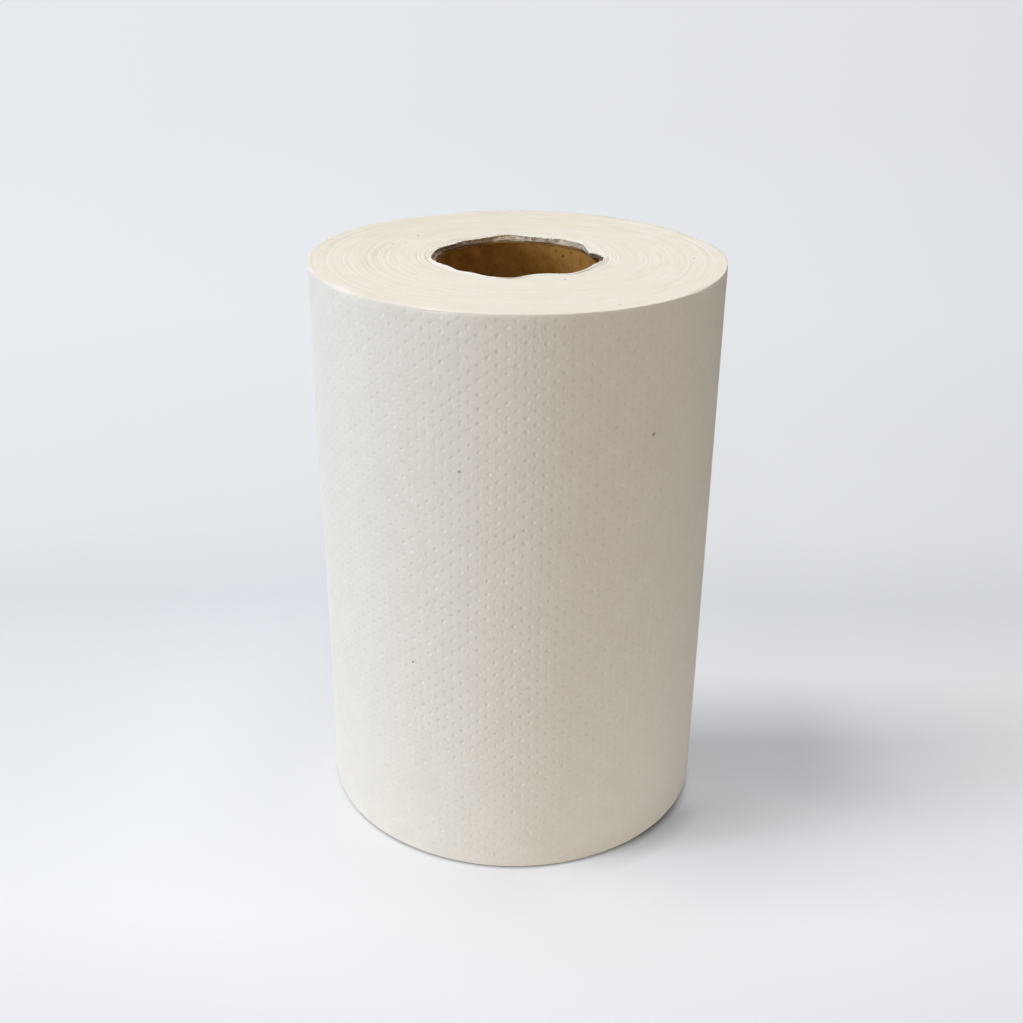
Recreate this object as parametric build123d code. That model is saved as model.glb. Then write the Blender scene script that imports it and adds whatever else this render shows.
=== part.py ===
from build123d import *
from math import cos, pi, radians, sin
import os

# A paper towel roll that stands on its end.
# One web of paper is wound hard on a cardboard core tube that is a little shorter than the web.
# Sizes are in millimetres. +Z runs along the roll's axis and z = 0 is the face that it stands on.
# -Y is the front, and the loose tail of the web lies on the back.

# Wound web
roll_r = 69.85
web_width = 200.7
edge_round = 0.6
edge_shoulder = 0.18

# Out-of-round shape that winding and handling leave in the soft roll
round_waves = 2
round_swing = 0.1

# Loose tail, the last edge of the web
tail_lap = 0.25
tail_angle = radians(78)
outline_points = 36

# Core tube
core_inner_r = 26.0
core_wall = 1.4
core_recess = 2.0
core_edge_break = 0.25

# Torn innermost turns round the top mouth
tear_gap = 0.7
tear_depth = 0.9
tear_foot_gap = 0.35
tear_foot_share = 0.1
tear_ledge_share = 0.45
tear_ledge_gap = 0.75
tear_points = 108
tear_broad_waves = 3
tear_broad_swing = 0.45
tear_broad_start = radians(111)
tear_middle_waves = 5
tear_middle_swing = 0.75
tear_middle_start = radians(157)
tear_short_waves = 7
tear_short_swing = 0.75
tear_short_start = radians(20)
tear_fine_waves = 23
tear_fine_swing = 0.22
tear_fine_start = radians(40)

# Plain edge of the bottom mouth
bottom_mouth_gap = 0.6

# Turn marks: shallow steps where groups of turns stand a little higher or lower on the end faces
mark_depth = 0.3
mark_depth_swing = 0.12
mark_crest = 0.06
mark_steep = 0.3
mark_pitch = 2.8
mark_pitch_swing = 0.55
mark_beat = 2.4
mark_mouth_land = 3.2
mark_rim_land = 1.2

# Marks on the base are fewer, with flat lands between them that the roll rests on
base_mark_depth = 0.25
base_mark_steep = 0.3
base_mark_gentle = 2.2
base_mark_pitch = 8.0
cut_lift = 1.0

core_outer_r = core_inner_r + core_wall
turn = 2 * pi


def polar(radius, angle, z):
    return (radius * cos(angle), radius * sin(angle), z)


def web_outline(z, inset):
    """Closed outline of the outermost turn, ending in the step of the tail."""
    points = []
    for i in range(outline_points + 1):
        share = i / outline_points
        angle = tail_angle + turn * share
        radius = roll_r - inset - tail_lap * (1 - share)
        radius += round_swing * sin(round_waves * angle)
        points.append(polar(radius, angle, z))
    lap = Spline(*points)
    tail = Line(points[-1], points[0])
    return make_face(Wire([lap, tail]))


def tear_swing(angle):
    """How far the torn line leaves its mean radius at an angle."""
    swing = tear_broad_swing * cos(tear_broad_waves * angle + tear_broad_start)
    swing += tear_middle_swing * cos(tear_middle_waves * angle + tear_middle_start)
    swing += tear_short_swing * cos(tear_short_waves * angle + tear_short_start)
    swing += tear_fine_swing * cos(tear_fine_waves * angle + tear_fine_start)
    return swing


def torn_outline(z, gap, share):
    """Ragged closed outline round the core, with a share of the tear's full swing."""
    points = []
    for i in range(tear_points):
        angle = turn * i / tear_points
        radius = core_outer_r + gap + share * tear_swing(angle)
        points.append(polar(radius, angle, z))
    return make_face(Polyline(*points, close=True))


def ring(outline):
    """Solid that an outline beside the axis sweeps out when it turns round the axis."""
    with BuildPart() as swept:
        with BuildSketch(Plane.XZ):
            with BuildLine():
                Polyline(*outline, close=True)
            make_face()
        revolve(axis=Axis.Z)
    return swept.part


def top_marks():
    """Saw-tooth cut over the top face: each turn mark steps up outside and falls off gently inside."""
    lift = web_width + cut_lift
    radius = core_outer_r + mark_mouth_land
    outline = [(radius - mark_steep, lift)]
    count = 0
    while radius < roll_r - mark_rim_land - mark_steep:
        depth = mark_depth + mark_depth_swing * sin(mark_beat * count)
        outline.append((radius, web_width - depth))
        outline.append((radius + mark_steep, web_width - mark_crest))
        count += 1
        radius += mark_pitch + mark_pitch_swing * cos(mark_beat * count)
    outline.append((outline[-1][0] + mark_steep, lift))
    return ring(outline)


def base_marks():
    """Rings cut into the base, steep outside and gentle inside, with lands left between them."""
    grow = (base_mark_depth + cut_lift) / base_mark_depth
    marks = []
    radius = core_outer_r + base_mark_pitch
    while radius < roll_r - mark_rim_land - base_mark_steep:
        outer = (radius + base_mark_steep * grow, -cut_lift)
        inner = (radius - base_mark_gentle * grow, -cut_lift)
        marks.append(ring([(radius, base_mark_depth), outer, inner]))
        radius += base_mark_pitch
    return marks


# The web starts as one tall form through the outlines of its outermost turn
shoulder_top = web_width - edge_shoulder
round_top = web_width - edge_round
sections = [
    web_outline(0, edge_round),
    web_outline(edge_round, 0),
    web_outline(round_top, 0),
    web_outline(shoulder_top, edge_shoulder),
    web_outline(web_width, edge_round),
]
web = loft(sections, ruled=True)

# Bore that the core is glued into
web -= Pos(0, 0, web_width / 2) * Cylinder(core_outer_r, web_width + 2 * cut_lift)

# Torn mouth at the top, from the ragged lip down to the core's rim
core_top = web_width - core_recess
mouth = loft(
    [
        torn_outline(core_top, tear_foot_gap, tear_foot_share),
        torn_outline(web_width - tear_depth, tear_ledge_gap, tear_ledge_share),
        torn_outline(web_width, tear_gap, 1),
        torn_outline(web_width + cut_lift, tear_gap, 1),
    ],
    ruled=True,
)
web -= mouth

# Plain opening at the bottom, tapered up to the core's lower rim
web -= Pos(0, 0, core_recess / 2) * Cone(
    core_outer_r + bottom_mouth_gap, core_outer_r, core_recess
)

# Turn marks on both end faces
web -= top_marks()
web -= base_marks()

# Core tube, cut a little short of the web at both ends
core_length = web_width - 2 * core_recess
core = Cylinder(core_outer_r, core_length) - Cylinder(core_inner_r, core_length)
inner_edges = core.edges().filter_by(GeomType.CIRCLE).sort_by(SortBy.RADIUS)[:2]
core = chamfer(inner_edges, core_edge_break)
core = Pos(0, 0, web_width / 2) * core

os.makedirs("parts", exist_ok=True)
export_step(web, "parts/paper_roll.step")
export_step(core, "parts/core_tube.step")
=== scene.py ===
from math import cos, pi, radians, sin, sqrt
import bpy
import numpy as np
from mathutils import Matrix, Vector


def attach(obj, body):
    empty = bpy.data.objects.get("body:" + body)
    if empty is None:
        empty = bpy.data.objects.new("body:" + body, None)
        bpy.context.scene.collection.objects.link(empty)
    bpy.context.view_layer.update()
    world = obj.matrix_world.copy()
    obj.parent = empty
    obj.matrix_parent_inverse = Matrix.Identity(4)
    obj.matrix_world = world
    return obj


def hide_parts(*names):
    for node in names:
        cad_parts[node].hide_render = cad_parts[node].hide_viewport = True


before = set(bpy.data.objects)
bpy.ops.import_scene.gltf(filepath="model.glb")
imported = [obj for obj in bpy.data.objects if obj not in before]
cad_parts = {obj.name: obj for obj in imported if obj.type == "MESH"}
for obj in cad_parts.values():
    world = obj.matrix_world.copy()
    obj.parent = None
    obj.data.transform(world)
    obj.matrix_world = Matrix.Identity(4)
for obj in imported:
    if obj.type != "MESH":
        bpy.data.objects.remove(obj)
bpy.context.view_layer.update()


# The stand. A pale sweep of paper that the roll stands on. The floor is flat, and a faint
# darker band of painted shade stands for the bend where the sweep lifts behind the roll.
# The camera looks down on the roll from the front.
camera_back = 0.42337
camera_height = 0.30549
camera_pitch = 0.44083
camera_yaw = -0.00303
camera_lean = 0.00949
camera_data = bpy.data.cameras.new("camera")
camera_data.sensor_width = 36
camera_data.lens = 44.999
camera_data.clip_start = 0.01
camera = bpy.data.objects.new("camera", camera_data)
bpy.context.collection.objects.link(camera)
camera.matrix_world = (
    Matrix.Translation((0, -camera_back, camera_height))
    @ Matrix.Rotation(-camera_yaw, 4, "Z")
    @ Matrix.Rotation(pi / 2 - camera_pitch, 4, "X")
    @ Matrix.Rotation(camera_lean, 4, "Z")
)
bpy.context.scene.camera = camera
bpy.context.scene.view_settings.view_transform = "Standard"


def new_material(name):
    """An empty node material with its output node."""
    made = bpy.data.materials.new(name)
    made.use_nodes = True
    made.node_tree.nodes.clear()
    made.node_tree.nodes.new("ShaderNodeOutputMaterial").name = "out"
    return made


def feed(tree, socket, value):
    """Links another node's socket to a socket, or sets a plain value on it."""
    if isinstance(value, bpy.types.NodeSocket):
        tree.links.new(value, socket)
    else:
        socket.default_value = value


def add_node(tree, kind, inputs=None, **settings):
    """One shader node with its settings and what its inputs are fed with."""
    node = tree.nodes.new("ShaderNode" + kind)
    for key, value in settings.items():
        setattr(node, key, value)
    for key, value in (inputs or {}).items():
        feed(tree, node.inputs[key], value)
    return node


def math_node(tree, operation, a, b=None, c=None):
    """The result of one sum, product or other operation in a node tree."""
    inputs = {place: value for place, value in enumerate((a, b, c)) if value is not None}
    return add_node(tree, "Math", inputs, operation=operation).outputs[0]


def product(tree, *values):
    """Several values multiplied together."""
    whole = values[0]
    for value in values[1:]:
        whole = math_node(tree, "MULTIPLY", whole, value)
    return whole


def weighted_sum(tree, *parts):
    """The sum of several values, each given with its weight."""
    whole = 0.0
    for value, weight in parts:
        whole = math_node(tree, "MULTIPLY_ADD", value, weight, whole)
    return whole


def ramp_node(tree, value, stops):
    """A colour ramp over a value, from (place, colour) stops."""
    node = tree.nodes.new("ShaderNodeValToRGB")
    band = node.color_ramp
    while len(band.elements) < len(stops):
        band.elements.new(0.5)
    for element, (place, colour) in zip(band.elements, stops):
        element.position = place
        element.color = (*colour, 1)
    tree.links.new(value, node.inputs["Fac"])
    return node.outputs["Color"]


def between(tree, value, start, end, first=0.0, last=1.0, way="LINEAR"):
    """A value taken from one range to another and held at its ends."""
    node = add_node(
        tree, "MapRange",
        {"Value": value, "From Min": start, "From Max": end, "To Min": first, "To Max": last},
        interpolation_type=way,
    )
    return node.outputs["Result"]


def mixed(tree, share, first, second, way="MIX"):
    """One colour laid over another by a share."""
    node = add_node(
        tree, "MixRGB", {"Fac": share, "Color1": first, "Color2": second},
        blend_type=way, use_clamp=True,
    )
    return node.outputs["Color"]


def seen_share(tree):
    """One where a surface is seen or mirrored, and nought where it only throws light back."""
    ray = add_node(tree, "LightPath")
    return math_node(
        tree, "MAXIMUM", ray.outputs["Is Camera Ray"],
        math_node(
            tree, "MAXIMUM", ray.outputs["Is Glossy Ray"], ray.outputs["Is Transmission Ray"]
        ),
    )


def finish_with(tree, shader):
    """Leads a shader to the material's output."""
    tree.links.new(shader.outputs[0], tree.nodes["out"].inputs["Surface"])


floor_size = 24
bpy.ops.mesh.primitive_plane_add(size=floor_size, location=(0, 0, 0))
floor = bpy.context.object
floor.name = "floor"
floor_paint = new_material("pale_sweep")
tree = floor_paint.node_tree
axes = add_node(tree, "SeparateXYZ", {"Vector": add_node(tree, "TexCoord").outputs["Object"]})
across = axes.outputs["X"]
away = axes.outputs["Y"]

# Far from the roll the sweep shows a set tone, by depth and from side to side, with the
# band of painted shade behind the roll
depth_tone = ramp_node(
    tree,
    math_node(tree, "MULTIPLY_ADD", away, 0.5, 0.2),
    [
        (0.00, (0.80, 0.82, 0.85)),
        (0.13, (0.83, 0.845, 0.87)),
        (0.175, (0.86, 0.87, 0.885)),
        (0.235, (0.77, 0.79, 0.82)),
        (0.262, (0.70, 0.72, 0.745)),
        (0.30, (0.765, 0.785, 0.82)),
        (0.50, (0.80, 0.825, 0.855)),
        (1.00, (0.78, 0.80, 0.84)),
    ],
)

# The tone from side to side fans out from a place before the roll
fan_depth = math_node(tree, "ADD", math_node(tree, "MAXIMUM", away, -0.3), 0.43)
side_tone = ramp_node(
    tree,
    math_node(tree, "MULTIPLY_ADD", math_node(tree, "DIVIDE", across, fan_depth), 0.8, 0.5),
    [
        (0.0, (1.05, 1.05, 1.04)),
        (0.4, (1.01, 1.01, 1.01)),
        (0.7, (0.957, 0.953, 0.95)),
        (1.0, (0.880, 0.875, 0.866)),
    ],
)
far_tone = mixed(tree, 1.0, depth_tone, side_tone, "MULTIPLY")
from_axis = math_node(tree, "SQRT", weighted_sum(tree, (away, away), (across, across)))
far_share = between(tree, from_axis, 0.15, 0.42, way="SMOOTHSTEP")
# Painted light: at the right of the roll and behind it, the set tone is laid over the lit paper,
# which pales the upper part of the roll's shadow
shadow_trim_share = product(
    tree, between(tree, away, 0.006, 0.056, 0.0, 0.88), between(tree, across, 0.050, 0.070)
)
even_share = math_node(tree, "MAXIMUM", far_share, shadow_trim_share)

# Near the roll it is lit paper, which takes the roll's shade. Its own tone, lighter just
# before the roll, darker behind it and darkest at the band where the sweep lifts, is
# painted light and shade
near_tone = ramp_node(
    tree,
    math_node(tree, "MULTIPLY_ADD", away, 1.0, 0.3),
    [
        (0.00, (0.790, 0.800, 0.830)),
        (0.16, (0.805, 0.815, 0.845)),
        (0.205, (0.858, 0.868, 0.898)),
        (0.28, (0.800, 0.815, 0.850)),
        (0.35, (0.775, 0.790, 0.825)),
        (0.424, (0.725, 0.745, 0.785)),
        (0.50, (0.780, 0.795, 0.825)),
        (0.60, (0.855, 0.865, 0.885)),
    ],
)

# Shade at the roll's foot: a soft one at the right, and a thin line at either side
foot_shade = (0.10, 0.10, 0.10, 1)
soft_shade = product(
    tree,
    between(tree, from_axis, 0.0700, 0.0810, 0.37, 0.0),
    between(tree, across, 0.015, 0.050),
    between(tree, away, -0.031, -0.041),
)
near_tone = mixed(tree, soft_shade, near_tone, foot_shade)
for reach, sides, shares, ends in (
    (0.0726, (0.030, 0.048), (0.0, 0.56), (-0.019, -0.036)),
    (0.0708, (-0.066, -0.045), (0.10, 0.32), (-0.008, -0.022)),
):
    thin_line = product(
        tree,
        between(tree, from_axis, 0.0698, reach, 1.0, 0.0),
        between(tree, across, *sides, *shares),
        between(tree, away, *ends),
    )
    near_tone = mixed(tree, thin_line, near_tone, foot_shade)

# Painted light and shade on the sweep beside the roll and before it: lighter near its foot,
# and a little darker further out at the right
beside = product(
    tree,
    between(tree, across, 0.050, 0.068),
    between(tree, away, -0.038, -0.022),
    math_node(
        tree, "ADD",
        between(tree, across, 0.070, 0.115, 0.16, -0.08),
        between(tree, across, 0.125, 0.155, 0.0, 0.10),
    ),
)
before = product(
    tree,
    between(tree, across, 0.0, 0.030),
    between(tree, away, -0.050, -0.062),
    math_node(
        tree, "ADD",
        between(tree, from_axis, 0.070, 0.082, 0.14, 0.0),
        between(tree, from_axis, 0.082, 0.105, 0.06, 0.0),
    ),
)
lift = math_node(tree, "ADD", math_node(tree, "ADD", beside, before), 1.0)
near_tone = add_node(
    tree, "VectorMath", {0: near_tone, "Scale": lift}, operation="SCALE"
).outputs["Vector"]
near_paper = add_node(tree, "BsdfDiffuse", {"Color": near_tone})
thrown_back = mixed(
    tree, between(tree, across, 0.06, 0.30), (0.730, 0.734, 0.738, 1), (0.610, 0.588, 0.545, 1)
)
sweep_light = add_node(tree, "BsdfDiffuse", {"Color": thrown_back})
# Painted light: the sweep near the roll glows a little, only in the light it throws back, which
# lights the roll's lower wall
near_glow = add_node(
    tree, "Emission",
    {"Color": (1.0, 0.99, 0.97, 1), "Strength": between(tree, from_axis, 0.12, 0.28, 0.27, 0.0)},
)
bounce = add_node(tree, "AddShader", {0: sweep_light.outputs[0], 1: near_glow.outputs[0]})
far_paper = add_node(tree, "Emission", {"Color": far_tone, "Strength": 1.0})
shown = add_node(
    tree, "MixShader", {0: even_share, 1: near_paper.outputs[0], 2: far_paper.outputs[0]}
)
finish_with(tree, add_node(
    tree, "MixShader", {0: seen_share(tree), 1: bounce.outputs[0], 2: shown.outputs[0]}
))
floor.data.materials.append(floor_paint)


# The light. A cool window far to the left, a large warm lamp high on that side, a wider one
# overhead, and a weak warm one in front. The room is pale where it is seen, and gives next
# to no light.
room = bpy.data.worlds.new("room")
room.use_nodes = True
tree = room.node_tree
tree.nodes.clear()
room_light = add_node(tree, "Background", {"Color": (1.0, 1.0, 1.0, 1), "Strength": 0.02})
room_seen = add_node(tree, "Background", {"Color": (0.79, 0.81, 0.845, 1), "Strength": 1.0})
shown = add_node(
    tree, "MixShader", {0: seen_share(tree), 1: room_light.outputs[0], 2: room_seen.outputs[0]}
)
tree.links.new(shown.outputs[0], tree.nodes.new("ShaderNodeOutputWorld").inputs["Surface"])
bpy.context.scene.world = room
lamp_aim = 0.09


def soft_lamp(name, place, size, power, colour):
    """A square studio lamp at a place, turned to the roll a little below its middle."""
    data = bpy.data.lights.new(name, "AREA")
    data.shape = "SQUARE"
    data.size = size
    data.energy = power
    data.color = colour
    lamp = bpy.data.objects.new(name, data)
    bpy.context.collection.objects.link(lamp)
    lamp.location = place
    towards = Vector((0, 0, lamp_aim)) - Vector(place)
    lamp.rotation_euler = towards.to_track_quat("-Z", "Y").to_euler()


soft_lamp("window_lamp", (-3.15, -0.75, 1.0), 0.6, 51.5, (0.62, 0.74, 1.0))
soft_lamp("high_lamp", (-2.16, -0.36, 3.87), 2.1, 69.7, (1.0, 0.955, 0.78))
soft_lamp("overhead_lamp", (0, 0, 4.5), 2.8, 127.0, (0.93, 0.951, 1.0))
soft_lamp("front_lamp", (0.3, -1.4, 0.3), 0.9, 3.6, (1.0, 0.80, 0.60))


# The core tube. Brown board, wound in a steep spiral of plies, glued and cut to length.
# It ends two millimetres inside the paper, and its cut rims are a little fuzzy.
core_radius = 0.0274
core_wall = 0.0014
core_low = 0.0020
core_high = 0.1987
core_middle = (core_low + core_high) / 2
core_lead = 0.112
rim_bevel = 0.00022
fuzz_reach = 0.0009


def cut_across(levels):
    """Cuts the piece in edit mode right through at each height."""
    for level in levels:
        bpy.ops.mesh.select_all(action="SELECT")
        bpy.ops.mesh.bisect(plane_co=(0, 0, level), plane_no=(0, 0, 1))


bpy.ops.mesh.primitive_cylinder_add(
    vertices=256,
    radius=core_radius,
    depth=core_high - core_low,
    end_fill_type="NOTHING",
    location=(0, 0, core_middle),
)
core = bpy.context.object
core.name = "core_board_tube"
bpy.ops.object.mode_set(mode="EDIT")
cut_across((core_high - 0.0016, core_high - 0.0006, core_low + 0.0012))
bpy.ops.mesh.select_all(action="SELECT")
bpy.ops.mesh.normals_make_consistent(inside=False)
bpy.ops.object.mode_set(mode="OBJECT")
wall = core.modifiers.new("wall", "SOLIDIFY")
wall.thickness = core_wall
wall.offset = -1
rim = core.modifiers.new("rim", "BEVEL")
rim.width = rim_bevel
rim.segments = 2
rim.limit_method = "ANGLE"
rim.angle_limit = radians(50)
bpy.ops.object.modifier_apply(modifier="wall")
bpy.ops.object.modifier_apply(modifier="rim")
bpy.ops.object.transform_apply(location=True, rotation=True, scale=True)


def ring_waves(waves, random):
    """A smooth random swing round a ring, of about one in size, as a function of the angle."""
    terms = [(count, random.normal(), random.normal()) for count in waves]

    def swing(angle):
        whole = sum(a * np.cos(n * angle) + b * np.sin(n * angle) for n, a, b in terms)
        return whole / sqrt(len(terms))

    return swing


def mesh_points(piece):
    """The points of a piece's mesh as an array."""
    points = np.empty(len(piece.data.vertices) * 3)
    piece.data.vertices.foreach_get("co", points)
    return points.reshape(-1, 3)


def move_points(piece, points):
    """Puts the points of a piece's mesh at new places."""
    piece.data.vertices.foreach_set("co", points.ravel())
    piece.data.update()


rng = np.random.default_rng(11)
points = mesh_points(core)
angle = np.arctan2(points[:, 1], points[:, 0])
reach = np.hypot(points[:, 0], points[:, 1])
from_rim = np.minimum(points[:, 2] - core_low, core_high - points[:, 2])
fuzz = np.clip(1 - from_rim / fuzz_reach, 0, 1)
inner = (reach < core_radius - core_wall / 2).astype(float)
rim_fuzz = 0.00006 + 0.00005 * ring_waves(range(9, 120, 7), rng)(angle)
points[:, 2] -= np.sign(points[:, 2] - core_middle) * fuzz * rim_fuzz
out_of_round = 0.00012 * ring_waves((2, 3, 5, 8), rng)(angle)
frayed = fuzz * 0.00005 * ring_waves(range(20, 100, 9), rng)(angle)
points[:, :2] *= (1 + inner * (out_of_round + frayed) / reach)[:, None]
move_points(core, points)
bpy.ops.object.shade_smooth()


def new_group(name, places, numbers, results):
    """A shader node group that takes places and numbers and gives numbers."""
    made = bpy.data.node_groups.new(name, "ShaderNodeTree")
    new_socket = made.interface.new_socket
    for label in places:
        new_socket(name=label, in_out="INPUT", socket_type="NodeSocketVector")
    for label, value in numbers.items():
        socket = new_socket(name=label, in_out="INPUT", socket_type="NodeSocketFloat")
        socket.default_value = value
    for label in results:
        new_socket(name=label, in_out="OUTPUT", socket_type="NodeSocketFloat")
    return made, made.nodes.new("NodeGroupInput"), made.nodes.new("NodeGroupOutput")


def use_group(tree, group, inputs):
    """Places a node group in a material with its own values."""
    return add_node(tree, "Group", inputs, node_tree=group)


def noise(tree, place, scale, detail, roughness=0.5, distortion=0.0):
    """Soft random values from 0 to 1 at each place."""
    return add_node(
        tree, "TexNoise",
        {
            "Vector": place,
            "Scale": scale,
            "Detail": detail,
            "Roughness": roughness,
            "Distortion": distortion,
        },
    ).outputs["Fac"]


# Pulp: the soft clouding, the fibres and the dark bits that recycled board and paper both show
pulp, take, give = new_group(
    "pulp", ["Vector"],
    {"Cloud Scale": 300.0, "Fibre Scale": 1400.0, "Bit Scale": 260.0, "Bit Size": 0.1},
    ["Clouds", "Fibres", "Bits"],
)
where = take.outputs["Vector"]
clouds = noise(pulp, where, take.outputs["Cloud Scale"], 3.0, 0.55)
stretched = add_node(
    pulp, "Mapping", {"Vector": where, "Scale": (1.0, 1.0, 0.45), "Rotation": (0.4, 0.3, 0.9)}
)
fibres = noise(pulp, stretched.outputs["Vector"], take.outputs["Fibre Scale"], 2.0, 0.6, 0.8)
cells = add_node(
    pulp, "TexVoronoi", {"Vector": where, "Scale": take.outputs["Bit Scale"], "Randomness": 1.0}
)
chance = add_node(pulp, "SeparateColor", {"Color": cells.outputs["Color"]})
chosen = math_node(pulp, "GREATER_THAN", chance.outputs["Red"], 0.8)
bit_share = math_node(pulp, "MULTIPLY_ADD", chance.outputs["Green"], 0.8, 0.3)
bit_size = product(pulp, bit_share, take.outputs["Bit Size"])
bit = between(pulp, cells.outputs["Distance"], bit_size, product(pulp, bit_size, 0.4))
pulp.links.new(clouds, give.inputs["Clouds"])
pulp.links.new(fibres, give.inputs["Fibres"])
pulp.links.new(product(pulp, chosen, bit), give.inputs["Bits"])


def pulp_grain(tree, place, cloud_scale, fibre_scale, bit_scale, bit_size):
    """The pulp's clouds, fibres and bits in a material, at scales of its own."""
    return use_group(
        tree, pulp,
        {
            "Vector": place,
            "Cloud Scale": cloud_scale,
            "Fibre Scale": fibre_scale,
            "Bit Scale": bit_scale,
            "Bit Size": bit_size,
        },
    )


# Specks: single dark bits of pulp in the paper, each an uneven dot
speck, take, give = new_group("speck", ["Vector", "Place"], {"Size": 0.0004}, ["Dot"])
where = take.outputs["Vector"]
uneven = noise(speck, where, 1800.0, 1.0)
from_speck = add_node(
    speck, "VectorMath", {0: where, 1: take.outputs["Place"]}, operation="DISTANCE"
).outputs["Value"]
from_speck = product(speck, from_speck, math_node(speck, "MULTIPLY_ADD", uneven, 1.4, 0.3))
speck_core = product(speck, take.outputs["Size"], 0.55)
dot = between(speck, from_speck, take.outputs["Size"], speck_core)
speck.links.new(dot, give.inputs["Dot"])


def add_specks(tree, colour, place, specks, tint):
    """Tints a colour at single specks, given as (place, size, strength)."""
    for spot, reach, strength in specks:
        dot = use_group(tree, speck, {"Vector": place, "Place": spot, "Size": reach})
        colour = mixed(tree, product(tree, dot.outputs["Dot"], strength), colour, tint)
    return colour


def finish_matt(tree, colour, roughness, shine, bump):
    """Closes a material as a matt surface with a colour, a roughness, a shine and a bump."""
    finish_with(tree, add_node(
        tree, "BsdfPrincipled",
        {
            "Base Color": colour,
            "Roughness": roughness,
            "Specular IOR Level": shine,
            "Normal": bump.outputs["Normal"],
        },
    ))


def on_bore(degrees, height):
    """A place on the wall of the tube's bore."""
    bore = core_radius - core_wall
    turned = radians(degrees)
    return (bore * cos(turned), bore * sin(turned), height)


board = new_material("brown_core_board")
tree = board.node_tree
place = add_node(tree, "TexCoord").outputs["Object"]
grain = pulp_grain(tree, place, 190.0, 1500.0, 250.0, 0.14)
axes = add_node(tree, "SeparateXYZ", {"Vector": place})
turn_share = math_node(
    tree, "DIVIDE", math_node(tree, "ARCTAN2", axes.outputs["Y"], axes.outputs["X"]), 2 * pi
)
rise_share = math_node(tree, "MULTIPLY_ADD", axes.outputs["Z"], -1 / core_lead, 4.63)
spiral_share = math_node(tree, "FRACT", math_node(tree, "ADD", turn_share, rise_share))
seam_gap = math_node(tree, "ABSOLUTE", math_node(tree, "SUBTRACT", spiral_share, 0.5))
seam = between(tree, seam_gap, 0.0016, 0.0040, 1.0, 0.0)
colour = ramp_node(
    tree,
    grain.outputs["Clouds"],
    [(0.32, (0.315, 0.140, 0.026)), (0.5, (0.420, 0.200, 0.042)), (0.7, (0.500, 0.258, 0.062))],
)
lightened = product(tree, math_node(tree, "SUBTRACT", grain.outputs["Fibres"], 0.38), 1.3)
colour = mixed(tree, lightened, colour, (0.57, 0.31, 0.085, 1))
colour = mixed(tree, product(tree, grain.outputs["Bits"], 0.85), colour, (0.055, 0.028, 0.010, 1))
colour = mixed(tree, product(tree, seam, 0.6), colour, (0.12, 0.062, 0.024, 1))
colour = add_specks(
    tree, colour, place,
    [
        (on_bore(62.3, 0.1984), 0.00050, 0.60),
        (on_bore(52.4, 0.1953), 0.00060, 0.70),
        (on_bore(44.4, 0.1971), 0.00050, 0.60),
        (on_bore(88.3, 0.1945), 0.00055, 0.40),
        (on_bore(66.0, 0.1918), 0.00050, 0.40),
        (on_bore(74.5, 0.1907), 0.00050, 0.40),
        (on_bore(58.9, 0.1967), 0.00045, 0.60),
        (on_bore(120.7, 0.1980), 0.00070, 0.60),
        (on_bore(108.0, 0.1908), 0.00055, 0.40),
    ],
    (0.060, 0.028, 0.008, 1),
)
# Painted shade: the core's cut rim is darkened as if in the paper's shade, darker at the front and
# sides than at the back
rim_shade_share = between(tree, axes.outputs["Z"], core_high - 0.0007, core_high - 0.0002, 0.0, 0.95)
backwards = between(tree, axes.outputs["Y"], 0.006, 0.022)
rim_shade_colour = mixed(tree, backwards, (0.058, 0.023, 0.003, 1), (0.150, 0.080, 0.022, 1))
colour = mixed(tree, rim_shade_share, colour, rim_shade_colour)
height = weighted_sum(
    tree, (grain.outputs["Clouds"], 1.0), (grain.outputs["Fibres"], 0.5), (seam, -1.5)
)
bump = add_node(tree, "Bump", {"Strength": 0.5, "Distance": 0.00012, "Height": height})
finish_matt(tree, colour, 0.88, 0.10, bump)
core.data.materials.append(board)
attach(core, "root")
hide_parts("core_tube")


# The wound turns. About 350 turns of soft towel paper, wound hard, so that the slit edges
# of the web make both end faces. Groups of turns stand a little higher or lower.
web_top = 0.2007
face_level = web_top - 0.00010
wound_radius = 0.06945
shoulder_radius = 0.0672
seam_radius = 0.0309
bore_radius = 0.02743
base_radius = 0.0286
grooved_middle = 0.0490
grooved_half = 0.0165
shoulder_drop = 0.00008
dent_drop = 0.0007
dent_inward = 0.00048
angle = np.linspace(0, 2 * pi, 480, endpoint=False)


def turn_gap(angle, degrees):
    """The shorter way round from a place in degrees to an angle, in radians."""
    return (angle - radians(degrees) + pi) % (2 * pi) - pi


def rim_dents(angle):
    """Shallow flats that handling has pressed into the roll's top edge, from 0 to 1."""
    dents = np.zeros_like(angle)
    for degrees, width, depth in (
        (-141.0, 4.5, 0.9), (-110.2, 5.5, 0.7), (-35.1, 6.0, 0.6), (25, 8.0, 0.6), (118, 7.0, 0.8)
    ):
        dents = dents + depth * np.exp(-(turn_gap(angle, degrees) / radians(width)) ** 2)
    return dents


rng = np.random.default_rng(5)
turn_marks = [
    {
        "place": place,
        "step": rng.uniform(0.00002, 0.00007) * rng.choice((-1, 1)),
        "cut": rng.uniform(0.00002, 0.00008),
        "width": rng.uniform(0.00018, 0.00034),
        "drift": ring_waves((1, 2, 3), rng),
        "show": ring_waves((1, 2, 3, 4), rng),
    }
    for place in np.sort(rng.uniform(0.0318, 0.0688, 40))
]
ripple = ring_waves((2, 3, 4, 6), rng)


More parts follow.
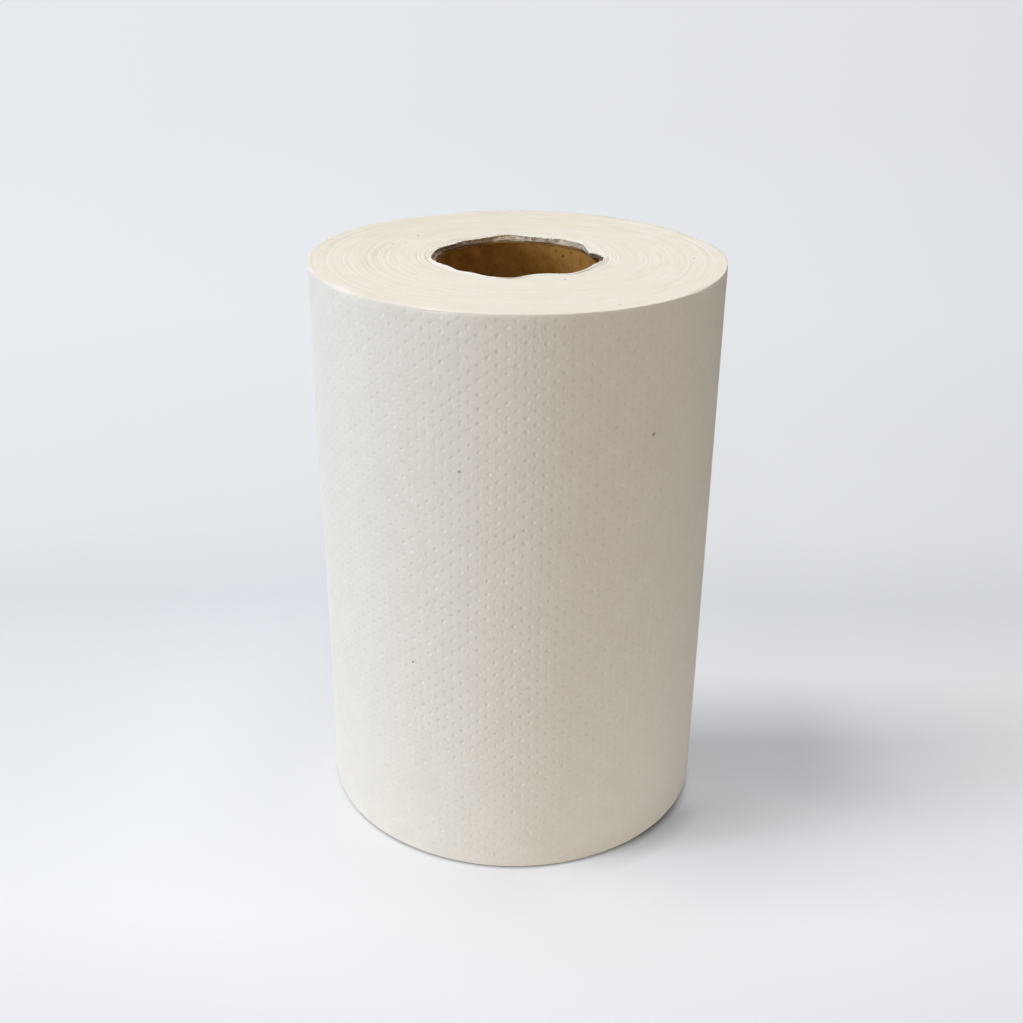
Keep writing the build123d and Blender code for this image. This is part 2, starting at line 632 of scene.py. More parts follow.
def face_relief(radius, angle):
    """Height of the turns' edges over an end face, and how far each place lies in a groove."""
    height = 0.00006 * ripple(angle)
    groove = np.zeros_like(angle)
    for mark in turn_marks:
        apart = radius - mark["place"] - 0.00022 * mark["drift"](angle)
        show = np.clip(0.55 + 0.5 * mark["show"](angle), 0, 1.3)
        dip = show * np.exp(-(apart / mark["width"]) ** 2)
        height = height + 0.5 * mark["step"] * show * np.tanh(apart / 0.00015) - mark["cut"] * dip
        groove = groove + mark["cut"] / 0.00016 * dip
    return height, groove


rows = []
dent = rim_dents(angle)
for station in np.linspace(wound_radius, seam_radius, 150):
    height, groove = face_relief(station, angle)
    edge = np.clip((station - shoulder_radius) / (wound_radius - shoulder_radius), 0, 1)
    height = height - shoulder_drop * edge ** 3 - dent_drop * dent * edge ** 2
    rows.append((station - dent_inward * dent * edge ** 2, face_level + height, groove))
rows += [
    # down behind the torn mouth, in to the core and along it in painted shade, out at the base
    (0.0308, 0.1992, 1.0),
    (0.0307, 0.1984, 1.0),
    (bore_radius, 0.1984, 1.0),
    (bore_radius, 0.0023, 1.0),
    (0.0276, 0.0018, 1.0),
    (0.02805 + 0.00018 * ring_waves((3, 5, 8, 13), rng)(angle), 0.0004, 0.0),
]
for station in np.linspace(base_radius, wound_radius - 0.0010, 38):
    height, groove = face_relief(station, angle)
    land = np.clip((abs(station - grooved_middle) - grooved_half) / 0.002, 0, 1)
    rows.append((station, np.maximum(0, 0.00005 - height * 0.9) * (1 - 0.9 * land), groove))

# The side, which the outer turn covers
for inset, level in ((0.0009, 0.0001), (0.0008, 0.0008), (0.0005, 0.0020)):
    rows.append((wound_radius - inset, level, 0.0))
for inset, level in ((0.0005, web_top - 0.0016), (0.0001, web_top - 0.0008)):
    rows.append((wound_radius - inset - 0.0004 * dent, level, 0.0))


def round_axis(radius, angle, level):
    """Points at a radius and an angle round the roll's axis and at a height."""
    return np.stack([radius * np.cos(angle), radius * np.sin(angle), level], 1)


def select_only(piece):
    """Leaves one piece selected and active."""
    bpy.ops.object.select_all(action="DESELECT")
    piece.select_set(True)
    bpy.context.view_layer.objects.active = piece


def face_outwards(piece):
    """Turns every face of a closed piece outwards and smooths it."""
    select_only(piece)
    bpy.ops.object.mode_set(mode="EDIT")
    bpy.ops.mesh.select_all(action="SELECT")
    bpy.ops.mesh.normals_make_consistent(inside=False)
    bpy.ops.object.mode_set(mode="OBJECT")
    bpy.ops.object.shade_smooth()


def mark_points(piece, name, values):
    """Keeps one value for each point of a piece, for its material."""
    layer = piece.data.attributes.new(name, "FLOAT", "POINT")
    layer.data.foreach_set("value", np.clip(np.array(values, dtype=float), 0, 1.5).ravel())


def wrapped_piece(name, rows, angle, marks):
    """A closed piece through rows of radius, height and marks, each row a turn round the axis."""
    rows = [np.broadcast_arrays(angle, *row)[1:] for row in rows]
    points = np.array([round_axis(row[0], angle, row[1]) for row in rows])
    count = len(rows)
    columns = len(angle)
    i, j = np.meshgrid(np.arange(count), np.arange(columns), indexing="ij")
    k, m = (i + 1) % count, (j + 1) % columns
    quads = np.stack([i * columns + j, k * columns + j, k * columns + m, i * columns + m], -1)
    mesh = bpy.data.meshes.new(name)
    mesh.from_pydata(points.reshape(-1, 3).tolist(), [], quads.reshape(-1, 4).tolist())
    mesh.update()
    made = bpy.data.objects.new(name, mesh)
    bpy.context.collection.objects.link(made)
    for place, mark in enumerate(marks, 2):
        mark_points(made, mark, [row[place] for row in rows])
    face_outwards(made)
    return made


wound = wrapped_piece("wound_turns", rows, angle, ["groove"])

# Turn edges: rings that come and go round an end face, finer than the modelled marks
turn_edges, take, give = new_group(
    "turn_edges", ["Vector"],
    {"Fine Turns": 2300.0, "Broad Turns": 560.0, "Arc Length": 3.5},
    ["Fine", "Broad"],
)
axes = add_node(turn_edges, "SeparateXYZ", {"Vector": take.outputs["Vector"]})
flat = add_node(
    turn_edges, "CombineXYZ", {"X": axes.outputs["X"], "Y": axes.outputs["Y"], "Z": 0.0}
).outputs[0]
from_axis = add_node(turn_edges, "VectorMath", {0: flat}, operation="LENGTH").outputs["Value"]
way = add_node(turn_edges, "VectorMath", {0: flat}, operation="NORMALIZE").outputs["Vector"]
way = add_node(
    turn_edges, "VectorMath", {0: way, "Scale": take.outputs["Arc Length"]}, operation="SCALE"
).outputs["Vector"]
way_axes = add_node(turn_edges, "SeparateXYZ", {"Vector": way})
for label in ("Fine", "Broad"):
    turn_count = product(turn_edges, from_axis, take.outputs[label + " Turns"])
    ringed = add_node(
        turn_edges, "CombineXYZ",
        {"X": way_axes.outputs["X"], "Y": way_axes.outputs["Y"], "Z": turn_count},
    )
    turn_edges.links.new(noise(turn_edges, ringed.outputs[0], 1.0, 1.5), give.inputs[label])

paper_edge = new_material("towel_paper_edges")
tree = paper_edge.node_tree
place = add_node(tree, "TexCoord").outputs["Object"]
grain = pulp_grain(tree, place, 90.0, 1700.0, 260.0, 0.14)
turns = use_group(
    tree, turn_edges,
    {"Vector": place, "Fine Turns": 1500.0, "Broad Turns": 620.0, "Arc Length": 3.2},
)
groove = add_node(tree, "Attribute", attribute_name="groove").outputs["Fac"]
colour = ramp_node(
    tree, grain.outputs["Clouds"], [(0.35, (0.850, 0.785, 0.680)), (0.65, (0.870, 0.815, 0.725))]
)
# Painted shade and light: shade in the modelled grooves and the recess down to the core, and
# darker and lighter rings for the shade and light on the turns' small steps
broad = between(tree, turns.outputs["Broad"], 0.30, 0.46, 1.0, 0.0)
fine = between(tree, turns.outputs["Fine"], 0.28, 0.50, 1.0, 0.0)
darker = weighted_sum(tree, (groove, 0.24), (fine, 0.075), (broad, 0.14))
colour = mixed(tree, darker, colour, (0.67, 0.58, 0.45, 1))
# Painted shade: the top face is darker and browner towards the back and the left
axes = add_node(tree, "SeparateXYZ", {"Vector": place})
backward = math_node(tree, "MULTIPLY_ADD", axes.outputs["X"], -0.5, axes.outputs["Y"])
top_back_shade = between(tree, backward, 0.010, 0.075, 0.0, 0.22)
colour = mixed(tree, top_back_shade, colour, (0.66, 0.56, 0.42, 1))
light_line = between(tree, turns.outputs["Broad"], 0.56, 0.66)
colour = mixed(tree, product(tree, light_line, 0.28), colour, (0.90, 0.865, 0.80, 1))
colour = mixed(tree, product(tree, grain.outputs["Bits"], 0.4), colour, (0.58, 0.42, 0.25, 1))
colour = add_specks(
    tree, colour, place,
    [
        ((-0.0354, 0.0270, web_top), 0.00048, 0.95),
        ((0.0586, -0.0020, web_top), 0.00045, 0.9),
        ((0.0302, -0.0577, web_top), 0.00050, 0.95),
        ((-0.0298, 0.0288, web_top), 0.00038, 0.5),
    ],
    (0.22, 0.13, 0.06, 1),
)
colour = add_specks(
    tree, colour, place,
    [
        ((-0.0431, 0.0147, web_top), 0.00065, 0.9),
        ((-0.0387, 0.0163, web_top), 0.00065, 0.85),
        ((-0.0443, -0.0049, web_top), 0.00055, 0.7),
        ((0.0083, 0.0372, web_top), 0.00055, 0.5),
        ((0.0269, 0.0270, web_top), 0.00050, 0.8),
        ((0.0281, 0.0264, web_top), 0.00050, 0.8),
        ((0.0149, -0.0306, web_top), 0.00065, 0.85),
        ((0.0212, -0.0247, web_top), 0.00055, 0.5),
        ((-0.0193, -0.0422, web_top), 0.00065, 0.6),
    ],
    (0.62, 0.42, 0.22, 1),
)
height = weighted_sum(
    tree,
    (grain.outputs["Fibres"], 0.3),
    (turns.outputs["Broad"], 1.3),
    (turns.outputs["Fine"], 0.9),
)
bump = add_node(tree, "Bump", {"Strength": 0.20, "Distance": 0.00015, "Height": height})
finish_matt(tree, colour, 0.92, 0.2, bump)
wound.data.materials.append(paper_edge)
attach(wound, "root")
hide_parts("paper_roll")


# The torn mouth. The first turns on the core were torn and crumpled when winding began,
# so the paper's inner edge runs ragged round the core, with a rolled lip and a small flap.
mouth_radius = 0.02764
flap_reach = 0.0013
flap_start = 8.2
flap_end = 9.6
lip_curl = 0.00018
lip_depth = 0.00042
lip_overlap = 0.00030
ledges = 4
tear_foot = 0.1990
angle = np.linspace(0, 2 * pi, 1200, endpoint=False)


def mouth_line(angle):
    """Torn edge of the paper round the mouth, in metres from the axis."""
    # waves in a turn, swing in millimetres, start in degrees
    swings = (
        (1, 0.43, 144), (2, 0.18, -158), (3, 0.44, 111), (4, 0.58, 39),
        (5, 0.63, 157), (7, 0.74, 20), (8, 0.47, 21), (9, 0.26, 120),
        (10, 0.21, 126), (11, 0.30, 4), (17, 0.10, 142), (19, 0.10, -16),
    )
    line = np.full_like(angle, mouth_radius)
    for waves, swing, start in swings:
        line = line + 0.001 * swing * np.cos(waves * angle + radians(start))
    degrees = np.degrees(angle) % 360
    flap = 1 / (1 + np.exp((flap_start - degrees) / 0.35))
    flap = flap * np.exp(-np.clip(degrees - flap_end, 0, None) / 6)
    return line - flap_reach * flap


def flap_pocket(angle):
    """The pocket beside the flap, where the paper stands back from the core, from 0 to 1."""
    return np.exp(-(turn_gap(angle, 9) / radians(17)) ** 4)


rng = np.random.default_rng(8)
back_share = np.clip(0.5 + 0.9 * np.sin(angle), 0.12, 1)
ragged = 0.00021 * ring_waves(range(37, 90, 5), rng)(angle)
ragged = ragged + 0.00011 * ring_waves(range(110, 260, 11), rng)(angle)
lip = mouth_line(angle) + back_share * ragged
under_lip = mouth_line(angle) + 0.00010 + 0.12 * back_share * ragged
calm = 1 - 0.5 * np.clip(0.5 + 0.5 * np.sin(angle), 0, 1)
curl = calm * (1 + 0.25 * ring_waves((3, 5, 9, 14), rng)(angle))
seam_line = seam_radius + 0.00012 + 0.00015 * ring_waves((2, 3, 5), rng)(angle)
creases = (
    # share of the way in from the seam, depth, width, show at the front
    (0.12, 0.00018, 0.00012, 0.2),
    (0.36, 0.00028, 0.00012, 1.0),
    (0.56, 0.00026, 0.00011, 0.1),
    (0.72, 0.00032, 0.00011, 1.1),
    (0.90, 0.00018, 0.00009, 0.0),
)
crease_show = [
    np.clip(0.7 + 0.5 * ring_waves((1, 2, 3, 5), rng)(angle), 0.1, 1.2) for _ in creases
]
front = np.clip(-1.3 * np.sin(angle), 0, 1)
# Painted shade in the mouth: more at the back and the left, and more under the lip and deeper down
back_mouth_shade = np.clip(0.2 + 1.6 * np.sin(angle) + 0.9 * np.clip(-np.cos(angle), 0, 1), 0, 1)
back_mouth_shade = 0.14 * back_mouth_shade
rows = []
for share in np.linspace(0, 1, 30)[:-1]:
    radius = seam_line + (lip + lip_overlap - seam_line) * share
    height, groove = face_relief(radius, angle)
    rise = lip_curl * curl * np.clip((share - 0.55) / 0.45, 0, 1) ** 1.5
    for (spot, cut, width, front_show), show in zip(creases, crease_show):
        apart = (share - spot) * (seam_line - lip) / (1.3 * width * (1 + 1.6 * front))
        dip = show * (1 + (front_show - 1) * front) * np.exp(-apart ** 2)
        rise = rise - cut * dip
        groove = groove + 5000 * cut * dip
    whiter = np.clip((share - 0.25) / 0.3, 0, 1)
    mouth_shade = 0.14 * (1 - whiter) + back_mouth_shade * whiter
    rows.append((radius, face_level + height + rise, groove, mouth_shade))
height, _ = face_relief(lip, angle)

# Painted shade on the torn paper under the lip, darker at the left and beside the flap
lip_wall_shade = np.zeros_like(angle)
for degrees, half in ((166, 22), (3, 9)):
    lip_wall_shade = lip_wall_shade + np.exp(-(turn_gap(angle, degrees) / radians(half)) ** 4)
for edge, out, rise, drop, mouth_shade in (
    # the lip's line, how far outside it, share of the curl, drop, painted shade
    (lip, lip_overlap, 1.0, 0.0, 0.0),
    (lip, 0.00018, 0.9, 0.00001, 0.0),
    (lip, 0.00007, 0.55, 0.00004, 0.0),
    (lip, 0.0, 0.0, 0.00010, 0.12),
    (under_lip, 0.0, 0.0, 0.5 * lip_depth, 0.38),
    (under_lip, 0.00002, 0.0, lip_depth, 0.50),
):
    level = face_level + height + lip_curl * curl * rise - drop
    mouth_shade = np.maximum(back_mouth_shade, mouth_shade) + 0.6 * lip_wall_shade * (drop > 0.00005)
    rows.append((edge + out, level, 0.0, mouth_shade))
pocket = flap_pocket(angle)
foot = np.minimum(mouth_radius, under_lip - 0.00020) * (1 - pocket) + (under_lip + 0.0004) * pocket
ledge = under_lip
ledge_top = face_level - lip_depth
for number in range(1, ledges + 1):
    share = number / ledges
    below = ledge_top + (tear_foot - ledge_top) * share
    wave = ring_waves(range(5, 60, 6), rng)(angle)
    wave = wave + 0.6 * ring_waves(range(70, 260, 13), rng)(angle)
    inner_edge = under_lip + (foot - under_lip) * share + 0.00003 * wave * (number < ledges)
    level = below + 0.00001 * wave
    # Painted shade deepens ledge by ledge down the mouth
    mouth_shade = 0.60 + 0.20 * share + lip_wall_shade
    rows.append((0.65 * ledge + 0.35 * inner_edge, level, 0.0, mouth_shade + 0.06))
    rows.append((inner_edge, level - 0.00005, 0.0, mouth_shade - 0.05))
    ledge = inner_edge
rows += [
    # down behind the core's rim, and back out under the face, in the deepest painted shade
    (0.02752, 0.19885, 0.0, 0.85),
    (0.02750, 0.19852, 0.0, 0.95),
    (0.0300, 0.1985, 0.0, 1.0),
    (0.03078, 0.1992, 0.0, 1.0),
]
torn = wrapped_piece("torn_mouth", rows, angle, ["groove", "mouth_shade"])

torn_paper = new_material("torn_towel_paper")
tree = torn_paper.node_tree
place = add_node(tree, "TexCoord").outputs["Object"]
grain = pulp_grain(tree, place, 420.0, 2600.0, 300.0, 0.08)
turns = use_group(
    tree, turn_edges,
    {"Vector": place, "Fine Turns": 4200.0, "Broad Turns": 1500.0, "Arc Length": 6.0},
)
groove = add_node(tree, "Attribute", attribute_name="groove").outputs["Fac"]
mouth_shade = add_node(tree, "Attribute", attribute_name="mouth_shade").outputs["Fac"]
# The pieces' marked shade is painted shade, roughened by the pulp's clouds; the ramp runs from the
# lip's white to the deep shade in the mouth
uneven = math_node(tree, "MULTIPLY_ADD", grain.outputs["Clouds"], 0.5, -0.25)
shade_and_clouds = math_node(tree, "MULTIPLY_ADD", uneven, between(tree, mouth_shade, 0.0, 0.4), mouth_shade)
colour = ramp_node(
    tree, shade_and_clouds,
    [
        (0.0, (0.895, 0.865, 0.815)),
        (0.14, (0.865, 0.812, 0.720)),
        (0.45, (0.73, 0.625, 0.475)),
        (0.80, (0.52, 0.415, 0.29)),
        (1.0, (0.27, 0.18, 0.105)),
    ],
)
broad = between(tree, turns.outputs["Broad"], 0.30, 0.46, 1.0, 0.0)
# Painted shade in the creases and along the rings
darker = weighted_sum(tree, (groove, 0.36), (broad, 0.10))
colour = mixed(tree, darker, colour, (0.60, 0.52, 0.41, 1))
colour = mixed(tree, product(tree, grain.outputs["Fibres"], 0.16), colour, (0.92, 0.89, 0.83, 1))
height = weighted_sum(tree, (grain.outputs["Fibres"], 1.0), (turns.outputs["Broad"], 0.9))
bump = add_node(tree, "Bump", {"Strength": 0.08, "Distance": 0.00014, "Height": height})
finish_matt(tree, colour, 0.95, 0.15, bump)
torn.data.materials.append(torn_paper)
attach(torn, "root")


# Loose plies. Single turns of torn paper that stand free between the core and the lip,
# each with its own frayed upper edge. They are held only by the turns wound over them.
ply_thickness = 0.00010
ply_foot = 0.19855
lip_gap = 0.00012
plies = (
    # radius, usual height, swing of the height, bow of the wall, random start
    (0.02768, 0.00060, 0.00035, 0.00010, 31),
    (0.02794, 0.00105, 0.00050, 0.00014, 32),
    (0.02850, 0.00170, 0.00035, 0.00016, 34),
)
for number, (radius, usual, swing, bow, start) in enumerate(plies, 1):
    rng = np.random.default_rng(start)
    bpy.ops.mesh.primitive_cylinder_add(
        vertices=720, radius=1, depth=1, end_fill_type="NOTHING", location=(0, 0, 0.5)
    )
    ply = bpy.context.object
    ply.name = "loose_ply_%d" % number
    bpy.ops.object.transform_apply(location=True, rotation=True, scale=True)
    bpy.ops.object.mode_set(mode="EDIT")
    cut_across((0.35, 0.7, 0.9))
    bpy.ops.object.mode_set(mode="OBJECT")
    points = mesh_points(ply)
    angle = np.arctan2(points[:, 1], points[:, 0])
    share = points[:, 2].copy()
    frayed = ring_waves(range(5, 31, 4), rng)(angle)
    frayed = frayed + 0.2 * ring_waves(range(47, 170, 9), rng)(angle)
    room = np.clip((mouth_line(angle) - lip_gap - radius) / 0.0004, 0, 1)
    tall = (usual + 0.6 * swing * frayed) * (1 - 0.85 * flap_pocket(angle)) * room
    tall = np.clip(tall, 0.00015, web_top - ply_foot - 0.00035)
    wander = 0.00010 * ring_waves((2, 3, 5, 8, 13), rng)(angle)
    reach = radius + wander + bow * np.sin(pi * share) * ring_waves((4, 6, 9), rng)(angle)
    reach = np.minimum(reach, np.maximum(mouth_line(angle) - 0.00008, 0.02760))
    move_points(ply, round_axis(reach, angle, ply_foot + share * tall))
    # Painted shade, deeper towards the foot of each ply
    mark_points(ply, "mouth_shade", 0.72 - 0.30 * share ** 2)
    mark_points(ply, "groove", np.zeros(len(points)))
    sheet_wall = ply.modifiers.new("sheet", "SOLIDIFY")
    sheet_wall.thickness = ply_thickness
    sheet_wall.offset = 0
    bpy.ops.object.modifier_apply(modifier="sheet")
    face_outwards(ply)
    ply.data.materials.append(torn_paper)
    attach(ply, "root")


# Torn fibres. Short whiskers of pulp that the tear left standing on the edge of the mouth,
# round its back and both sides, and longest at the left.
fibre_length = 0.0016
fibre_width = 0.00011
fibre_count = 56
rng = np.random.default_rng(14)
bpy.ops.mesh.primitive_cone_add(
    vertices=5, radius1=fibre_width, radius2=fibre_width * 0.25, depth=fibre_length,
    location=(0, 0, fibre_length / 2),
)
fibre = bpy.context.object
bpy.ops.object.transform_apply(location=True, rotation=True, scale=True)
bpy.ops.object.mode_set(mode="EDIT")
cut_across((0.25 * fibre_length, 0.5 * fibre_length, 0.75 * fibre_length))
bpy.ops.object.mode_set(mode="OBJECT")
points = mesh_points(fibre)
points[:, 0] += 0.30 * fibre_length * (points[:, 2] / fibre_length) ** 2
move_points(fibre, points)
copies = []
for _ in range(fibre_count):
    degrees = rng.uniform(15, 190)
    turn = radians(degrees)
    edge = mouth_line(np.array([turn]))[0] + rng.uniform(-0.0001, 0.0003)
    base = Vector((edge * cos(turn), edge * sin(turn), web_top - rng.uniform(0.0001, 0.0004)))
    length = rng.uniform(0.3, 1.0) * (1.1 if degrees > 140 else 0.7)
    lie = Matrix.Rotation(radians(rng.uniform(60, 86)), 4, "Y")
    aim = Matrix.Rotation(turn + radians(rng.uniform(-80, 80) + rng.choice((0, 180))), 4, "Z")
    roll = Matrix.Rotation(rng.uniform(0, 2 * pi), 4, "Z")
    whisker = fibre.copy()
    whisker.data = fibre.data.copy()
    whisker.data.transform(Matrix.Translation(base) @ aim @ lie @ roll @ Matrix.Scale(length, 4))
    bpy.context.collection.objects.link(whisker)
    copies.append(whisker)
bpy.data.objects.remove(fibre)
select_only(copies[0])
for whisker in copies[1:]:
    whisker.select_set(True)
bpy.ops.object.join()
fibres = bpy.context.object
fibres.name = "torn_fibres"
points = mesh_points(fibres)
low = np.clip((points[:, 2] - web_top) / 0.0006, 0, 1)
# Painted shade on the whiskers, a little lighter the higher they stand above the face
mark_points(fibres, "mouth_shade", 0.75 - 0.15 * low)
mark_points(fibres, "groove", np.zeros(len(points)))
face_outwards(fibres)
fibres.data.materials.append(torn_paper)
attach(fibres, "root")


# The outer turn. The last turn of the web, embossed all over with staggered dimples. Its loose
# tail edge ends on the back, and stands a third of a millimetre proud of the turn below.
outer_radius = 0.06968
tail_angle = radians(78)
under_tail = 0.003
dimple_across = 0.005702
dimple_up = 0.0046
dimple_depth = 0.00010
dimple_inner = 0.00050
dimple_outer = 0.00130
dimple_press = 0.000116
edge_plain = 0.0007
edge_fade = 0.0016
edge_soft = 0.0008
place_jitter = 0.00007
lowest_row = 0.0008
rim_turn = 0.00042
low_edge = 0.00050
high_edge = web_top - 0.00022
top_band = 0.0030
dent_edge_drop = 0.00090
dent_edge_inward = 0.00055
worn_depth = 0.00006
turn_step = 0.00016
tail_lift = 0.00018
tail_rise = 0.005
turn_length = 2 * pi * outer_radius
sheet_length = turn_length + under_tail
lattice_columns = int(sheet_length / (dimple_across / 2)) + 3
lattice_rows = int(web_top / dimple_up) + 4
rng = np.random.default_rng(21)
i, j = np.meshgrid(np.arange(lattice_columns), np.arange(lattice_rows), indexing="ij")
centre_x = (i - 1) * dimple_across / 2
centre_z = (j - 2) * dimple_up + (i % 2) * dimple_up / 2 + lowest_row
centre_z = centre_z + 0.00035 * np.sin(centre_x * 31 + 1.3) + 0.0002 * np.sin(centre_x * 84)
centre_z = centre_z + rng.normal(0, place_jitter, i.shape)
centre_x = centre_x + 0.0003 * np.sin(centre_z * 47 + 0.5) + rng.normal(0, place_jitter, i.shape)
pressed = 1 + 0.12 * np.sin(centre_x * 23 + 0.7) * np.sin(centre_z * 34 + 2.0)
pressed = pressed + rng.normal(0, 0.07, i.shape)
centre_angle = tail_angle + (centre_x - under_tail) / outer_radius

# The dimples are shallower near the base and towards both sides of the front
calm = 0.6 + 0.4 * np.clip(centre_z / 0.05, 0, 1)
for degrees, width, share in ((-24, 27, 0.80), (-175, 42, 0.74)):
    calm = calm * (1 - share * np.exp(-(turn_gap(centre_angle, degrees) / radians(width)) ** 2))
depth = dimple_depth * calm * np.clip(pressed, 0.55, 1.4)

# Each dimple is a middle point, six points round its floor and six round its rim
corner = np.radians([0, 64.5, 115.5, 180, 244.5, 295.5])
size = 1 + rng.normal(0, 0.08, i.shape)
reach = np.array([0.0] + [dimple_inner] * 6 + [dimple_outer] * 6) * size[..., None]
round_dimple = np.concatenate([[0.0], corner, corner])
own_x = reach * np.cos(round_dimple)
own_z = reach * np.sin(round_dimple)
flat_x = (centre_x[..., None] + own_x).ravel()
flat_z = (centre_z[..., None] + own_z).ravel()
near_edge = np.clip((np.minimum(flat_z, web_top - flat_z) - edge_plain) / edge_fade, 0, 1)
sunk = (depth[..., None] * np.array([1.0] + [0.8] * 6 + [0.0] * 6)).ravel() * near_edge
dimple_points = 13
cell = (i * lattice_rows + j) * dimple_points
quads, tris = [], []
for n in range(6):
    a, b = 1 + n, 1 + (n + 1) % 6
    tris.append(np.stack([cell, cell + a, cell + b], -1).reshape(-1, 3))
    quads.append(np.stack([cell + a, cell + a + 6, cell + b + 6, cell + b], -1).reshape(-1, 4))
inside = (i < lattice_columns - 1) & (j > 0) & (j < lattice_rows - 1)
odd = i % 2
this = cell[inside]
up = this + dimple_points
right_up = ((i + 1) * lattice_rows + j + odd)[inside] * dimple_points
right_down = right_up - dimple_points
quads.append(np.stack([this + 8, up + 12, up + 11, this + 9], -1))
quads.append(np.stack([this + 7, right_up + 11, right_up + 10, this + 8], -1))
quads.append(np.stack([this + 12, right_down + 10, right_down + 9, this + 7], -1))
tris.append(np.stack([this + 8, right_up + 10, up + 12], -1))
tris.append(np.stack([this + 7, right_down + 9, right_up + 11], -1))
quads, tris = np.concatenate(quads), np.concatenate(tris)
flat = np.stack([flat_x, sunk, flat_z], 1)
mesh = bpy.data.meshes.new("outer_turn")
mesh.from_pydata(flat.tolist(), [], quads.tolist() + tris.tolist())
mesh.update()

# Each dimple's own flat map, in dimple radii from its middle, and how hard it was pressed.
# Faces between dimples lie outside every dimple on the map.
own_x = own_x.ravel() / dimple_outer
own_z = own_z.ravel() / dimple_outer
own_map = np.stack([(own_x + own_z) * 0.58, (own_x - own_z) * 0.82], 1)
dimple_places = []
for faces in (quads, tris):
    places = own_map[faces]
    dimple = faces // dimple_points
    places[(dimple != dimple[:, :1]).any(1)] = 2.0
    dimple_places.append(places.ravel())
mesh.uv_layers.new(name="dimple").data.foreach_set("uv", np.concatenate(dimple_places))
hard = np.repeat((depth / dimple_depth).ravel(), dimple_points) * near_edge
mesh.attributes.new("pressed", "FLOAT", "POINT").data.foreach_set("value", hard)
outer = bpy.data.objects.new("outer_turn", mesh)
bpy.context.collection.objects.link(outer)
select_only(outer)
bpy.ops.object.mode_set(mode="EDIT")
for spot, facing, below, above in (
    ((0, 0, low_edge), (0, 0, 1), True, False),
    ((0, 0, high_edge), (0, 0, 1), False, True),
    ((0, 0, 0), (1, 0, 0), True, False),
    ((sheet_length, 0, 0), (1, 0, 0), False, True),
):
    bpy.ops.mesh.select_all(action="SELECT")
    bpy.ops.mesh.bisect(plane_co=spot, plane_no=facing, clear_inner=below, clear_outer=above)
cut_across((low_edge + 0.0003, low_edge + 0.0009))
cut_across((high_edge - 0.0024, high_edge - 0.0009, high_edge - 0.0003))
bpy.ops.mesh.select_all(action="DESELECT")
bpy.ops.mesh.select_mode(type="EDGE")
bpy.ops.mesh.select_non_manifold()
bpy.ops.mesh.extrude_region_move(TRANSFORM_OT_translate={"value": (0, rim_turn, 0)})
bpy.ops.object.mode_set(mode="OBJECT")

# The flat sheet is wound round the roll, and its cut edges are softened
flat = mesh_points(outer)
all_x, all_sunk, all_z = flat.T
along = all_x - under_tail
turned = tail_angle + along / outer_radius
dent = rim_dents(turned)
near_top = np.clip((all_z - (web_top - top_band)) / top_band, 0, 1)
from_end = np.minimum(all_z - low_edge, high_edge - all_z)
soft_edge = (0.00008 + 0.00014 * (all_z > 0.1)) * np.clip(1 - from_end / edge_soft, 0, 1) ** 2
worn = ring_waves(range(11, 60, 7), rng)(turned)
worn = worn + 0.6 * ring_waves(range(70, 160, 13), rng)(turned)
worn = worn_depth * np.clip(worn + 0.8, 0, 3)
spiral = outer_radius - turn_step * (1 - along / turn_length)
slack = 0.00005 * np.sin(turned * 3 + 1.0) * np.sin(all_z * 21)
slack = slack + 0.00003 * np.sin(turned * 7 + all_z * 33)
lifted = tail_lift * np.clip((along - (turn_length - tail_rise)) / tail_rise, 0, 1) ** 2
radius = spiral + lifted - all_sunk - soft_edge + slack
radius = radius - (dent_edge_inward * dent + worn) * near_top ** 2
level = all_z - (dent_edge_drop * dent + 0.6 * worn) * near_top ** 3
move_points(outer, round_axis(radius, turned, level))
flat_map = mesh.uv_layers.new(name="sheet")
corner_points = np.empty(len(mesh.loops), dtype=np.int64)
mesh.loops.foreach_get("vertex_index", corner_points)
flat_map.data.foreach_set("uv", flat[corner_points][:, [0, 2]].ravel())
bpy.ops.object.shade_smooth_by_angle(angle=radians(45))
even = outer.modifiers.new("even", "WEIGHTED_NORMAL")
even.keep_sharp = True
bpy.ops.object.modifier_apply(modifier="even")

# Crepe: the fine cross ridges of towel paper, along the roll's axis, and its soft crumpling
crepe, take, give = new_group(
    "crepe", ["Vector"], {"Ridge Scale": 1500.0, "Crumple Scale": 350.0}, ["Ridges", "Crumple"]
)
long_way = add_node(crepe, "Mapping", {"Vector": take.outputs["Vector"], "Scale": (1.0, 0.3, 1.0)})
ridges = noise(crepe, long_way.outputs["Vector"], take.outputs["Ridge Scale"], 2.0, 0.6, 0.4)
crumple = noise(crepe, take.outputs["Vector"], take.outputs["Crumple Scale"], 3.0, 0.6)
crepe.links.new(ridges, give.inputs["Ridges"])
crepe.links.new(crumple, give.inputs["Crumple"])


def on_wall(degrees, height):
    """A place on the outer turn, by its angle from the front and its height."""
    turned = radians(degrees)
    return (outer_radius * sin(turned), -outer_radius * cos(turned), height)


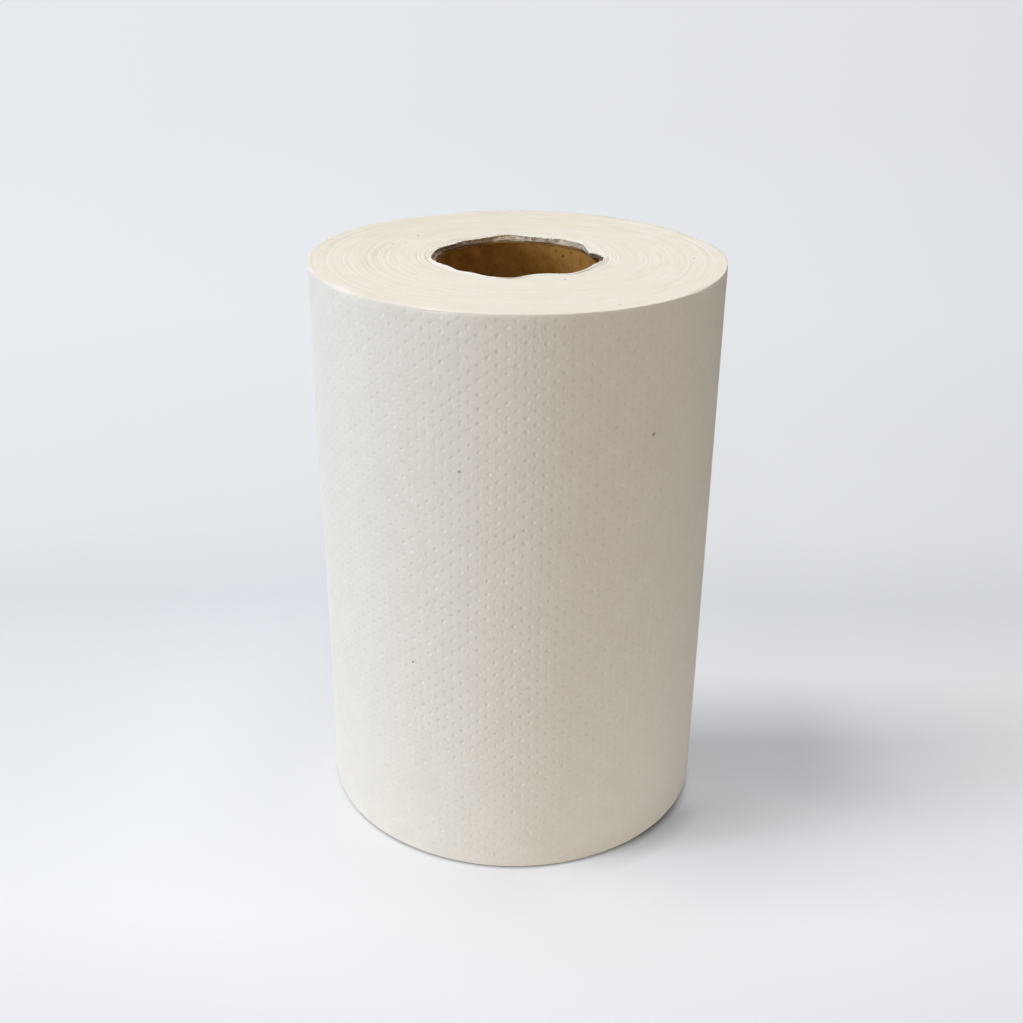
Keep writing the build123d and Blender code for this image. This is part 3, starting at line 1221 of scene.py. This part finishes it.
paper_face = new_material("towel_paper_embossed")
tree = paper_face.node_tree
place = add_node(tree, "TexCoord").outputs["Object"]
sheet_uv = add_node(tree, "UVMap", uv_map="sheet").outputs["UV"]
grain = pulp_grain(tree, place, 150.0, 1600.0, 210.0, 0.05)
folds = use_group(tree, crepe, {"Vector": sheet_uv, "Ridge Scale": 1400.0, "Crumple Scale": 330.0})
colour = ramp_node(
    tree, grain.outputs["Clouds"], [(0.35, (0.840, 0.792, 0.705)), (0.65, (0.858, 0.812, 0.728))]
)
colour = mixed(tree, product(tree, grain.outputs["Bits"], 0.35), colour, (0.50, 0.37, 0.22, 1))
dimple_uv = add_node(tree, "UVMap", uv_map="dimple").outputs["UV"]
from_middle = add_node(tree, "VectorMath", {0: dimple_uv}, operation="LENGTH").outputs["Value"]
hollow = between(tree, from_middle, 0.05, 0.84, 1.0, 0.0, way="SMOOTHSTEP")
how_hard = add_node(tree, "Attribute", attribute_name="pressed").outputs["Fac"]
hollow = product(tree, hollow, how_hard)
# Painted shade in each dimple's hollow
colour = mixed(tree, product(tree, hollow, 0.06), colour, (0.42, 0.35, 0.26, 1))
colour = add_specks(
    tree, colour, place,
    [
        (on_wall(-28.6, 0.0790), 0.00055, 0.6),
        (on_wall(37.9, 0.1587), 0.00085, 0.6),
        (on_wall(-14.2, 0.1506), 0.0006, 0.55),
        (on_wall(152, 0.121), 0.0005, 0.8),
        (on_wall(-124, 0.044), 0.0004, 0.8),
    ],
    (0.12, 0.075, 0.04, 1),
)
colour = add_specks(
    tree, colour, place, [(on_wall(-25.4, 0.0636), 0.0005, 0.5)], (0.60, 0.42, 0.24, 1)
)
height = weighted_sum(tree, (folds.outputs["Crumple"], 1.7), (folds.outputs["Ridges"], 0.8))
bump = add_node(tree, "Bump", {"Strength": 0.65, "Distance": 0.00019, "Height": height})
bump = add_node(
    tree, "Bump",
    {
        "Strength": 1.0,
        "Distance": dimple_press,
        "Height": hollow,
        "Normal": bump.outputs["Normal"],
    },
    invert=True,
)
finish_matt(tree, colour, 0.92, 0.2, bump)
outer.data.materials.append(paper_face)
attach(outer, "root")
